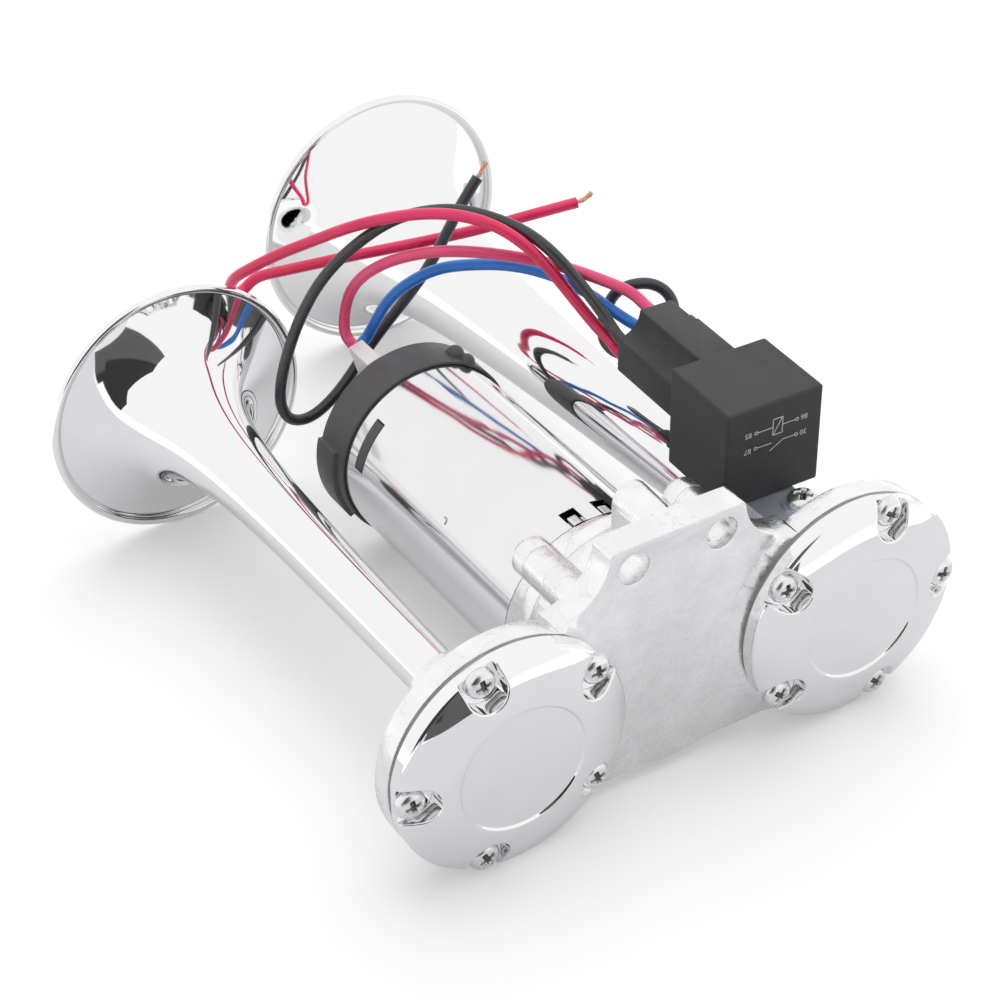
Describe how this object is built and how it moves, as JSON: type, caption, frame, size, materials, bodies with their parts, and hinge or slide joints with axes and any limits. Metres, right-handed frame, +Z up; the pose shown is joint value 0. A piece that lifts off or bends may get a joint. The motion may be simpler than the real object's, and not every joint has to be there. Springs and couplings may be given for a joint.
{
  "type": "car air horn",
  "caption": "Air horn: a short and a long flared trumpet on a cast manifold, with an electric air pump, a relay and loose wires.",
  "frame": {"origin": "midway between the two mounting holes, on the front face of the manifold's centre plate", "axes": "+Y along both trumpets towards their mouths, +Z up from the pump towards the mounting holes, +X towards the long trumpet"},
  "size_m": [0.1738, 0.2315, 0.1027],
  "materials": {
    "cast_alloy": "satin cast",
    "chrome": "polished",
    "steel": "plain",
    "spring_steel": "bright",
    "gasket": "matt",
    "black_plastic": "satin",
    "white_plastic": "matt",
    "magnet": "matt",
    "copper": "bare copper",
    "carbon": "matt",
    "bronze": "sintered",
    "pink_sleeve": "satin",
    "blue_sleeve": "satin",
    "black_sleeve": "satin",
    "red_sleeve": "satin"
  },
  "bodies": {
    "frame": {"manifold_casting": "cast_alloy", "pump_housing": "cast_alloy", "left_cap": "chrome", "right_cap": "chrome", "short_trumpet": "chrome", "long_trumpet": "chrome", "left_cap_screws": "steel", "right_cap_screws": "steel", "pump_screws": "steel", "relay_screw": "steel", "relay_washer": "steel", "relay_tab": "steel", "left_gasket": "gasket", "right_gasket": "gasket", "left_diaphragm": "spring_steel", "right_diaphragm": "spring_steel", "pump_liner": "steel", "pump_wear_plate": "steel", "motor_can": "steel", "motor_magnet_left": "magnet", "motor_magnet_right": "magnet", "motor_end_cap": "black_plastic", "front_bush": "bronze", "rear_bush": "bronze", "brush_left": "carbon", "brush_right": "carbon", "brush_spring_left": "spring_steel", "brush_spring_right": "spring_steel", "motor_terminal_1": "bronze", "motor_terminal_2": "bronze", "terminal_plug": "white_plastic", "relay_case": "black_plastic", "relay_base": "black_plastic", "relay_blades": "bronze", "relay_socket": "black_plastic", "pink_wire": "pink_sleeve", "blue_wire": "blue_sleeve", "long_black_wire": "black_sleeve", "long_red_wire": "red_sleeve", "black_jumper_wire": "black_sleeve", "black_strand": "copper", "red_strand": "copper"},
    "rotor": {"motor_shaft": "steel", "armature_core": "steel", "armature_winding": "copper", "commutator": "copper", "pump_rotor": "steel", "pump_vane_1": "carbon", "pump_vane_2": "carbon", "pump_vane_3": "carbon", "pump_vane_4": "carbon"}
  },
  "joints": [
    {"name": "rotor_spin", "type": "hinge", "parent": "frame", "child": "rotor", "pos_m": [0, 0.07, -0.0379], "axis": [0, 1, 0], "continuous": true}
  ]
}
